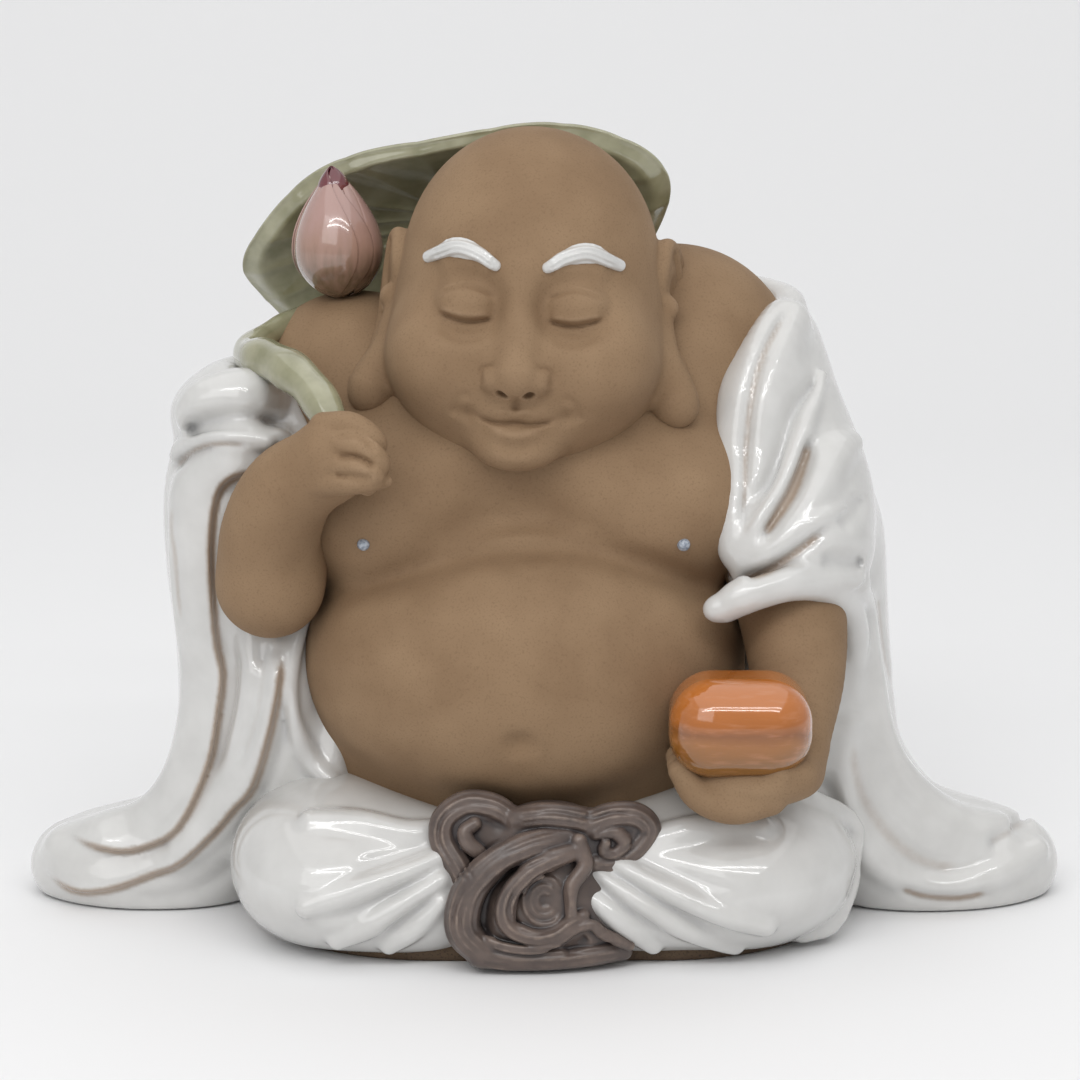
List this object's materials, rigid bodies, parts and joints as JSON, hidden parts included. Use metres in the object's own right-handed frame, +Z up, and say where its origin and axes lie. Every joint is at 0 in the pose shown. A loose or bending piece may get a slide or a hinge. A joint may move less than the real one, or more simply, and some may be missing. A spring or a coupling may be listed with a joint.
{
  "type": "seated laughing monk figurine",
  "caption": "Hand-built stoneware figurine of a seated big-bellied monk in a white-glazed robe, holding a fruit and a lotus; stands on a flat base.",
  "frame": {"origin": "on the underside of the base slab, on the middle line between its sides", "axes": "+Z up, the face looks along -Y, +X towards the figure's left hand"},
  "size_m": [0.2107, 0.1131, 0.1584],
  "materials": {
    "bare_clay": "matte unglazed brown stoneware",
    "base_clay": "rough unglazed dark brown stoneware",
    "white_glaze": "glossy white glaze that breaks to brown on edges",
    "sash_glaze": "satin dark manganese brown glaze",
    "orange_glaze": "glossy orange glaze",
    "leaf_glaze": "glossy olive green glaze",
    "bud_glaze": "glossy dusty pink glaze",
    "bud_tip_glaze": "glossy dark red glaze",
    "bead_glaze": "silvery blue glaze bead"
  },
  "bodies": {
    "root": {"base_slab": "base_clay", "body_front": "bare_clay", "body_back": "bare_clay", "head_shell": "bare_clay", "right_ear": "bare_clay", "left_ear": "bare_clay", "right_arm": "bare_clay", "right_fist": "bare_clay", "left_arm": "bare_clay", "left_hand": "bare_clay", "right_eyebrow": "white_glaze", "left_eyebrow": "white_glaze", "right_trouser_leg": "white_glaze", "left_trouser_leg": "white_glaze", "robe_back": "white_glaze", "right_sleeve": "white_glaze", "left_sleeve": "white_glaze", "right_train": "white_glaze", "left_train": "white_glaze", "sash_knot": "sash_glaze", "sash_right_bow": "sash_glaze", "sash_left_bow": "sash_glaze", "sash_tail": "sash_glaze", "orange_fruit": "orange_glaze", "lotus_leaf": "leaf_glaze", "lotus_stem": "leaf_glaze", "lotus_bud": "bud_glaze", "bud_tip": "bud_tip_glaze", "right_chest_bead": "bead_glaze", "left_chest_bead": "bead_glaze"}
  },
  "joints": []
}
